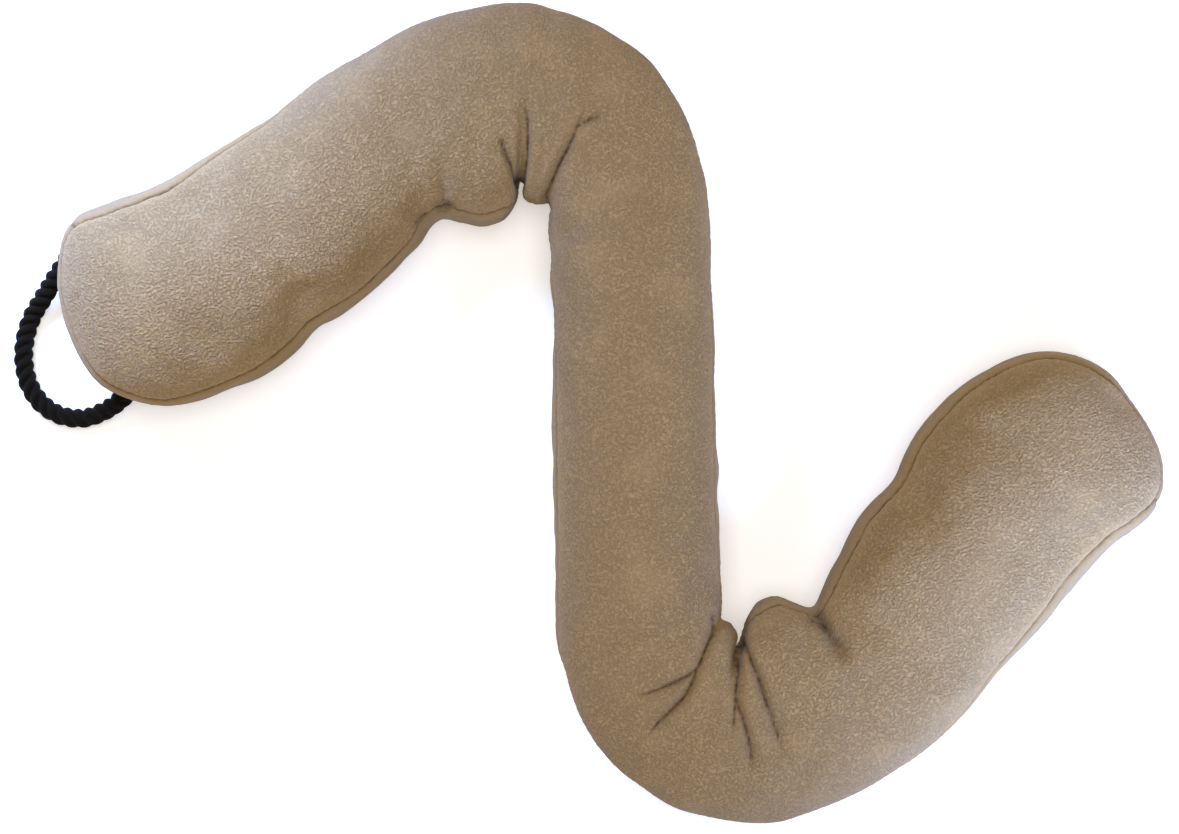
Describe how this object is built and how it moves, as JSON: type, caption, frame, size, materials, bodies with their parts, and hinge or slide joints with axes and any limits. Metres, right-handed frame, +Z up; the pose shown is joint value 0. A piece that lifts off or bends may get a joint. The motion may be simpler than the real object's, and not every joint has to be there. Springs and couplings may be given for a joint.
{
  "type": "draught excluder",
  "caption": "Long stuffed fleece tube with boxed sides, lying in an S with folded inner bends, and a twisted rope loop at one end.",
  "frame": {"origin": "middle of the stuffed tube's bounding box, on the plane of its resting underside", "axes": "+Z up out of the floor; the stuffed tube's longest side is along X, with the rope loop at the -X end; the first bend is towards +Y"},
  "size_m": [0.6159, 0.4351, 0.083],
  "materials": {
    "fleece": "brushed polar fleece with a fine pebbled nap, matt, beige",
    "rope": "hard twisted cord, black, slightly lustrous strands"
  },
  "bodies": {
    "root": {"stuffed_tube": "fleece", "rope_loop": "rope"}
  },
  "joints": []
}
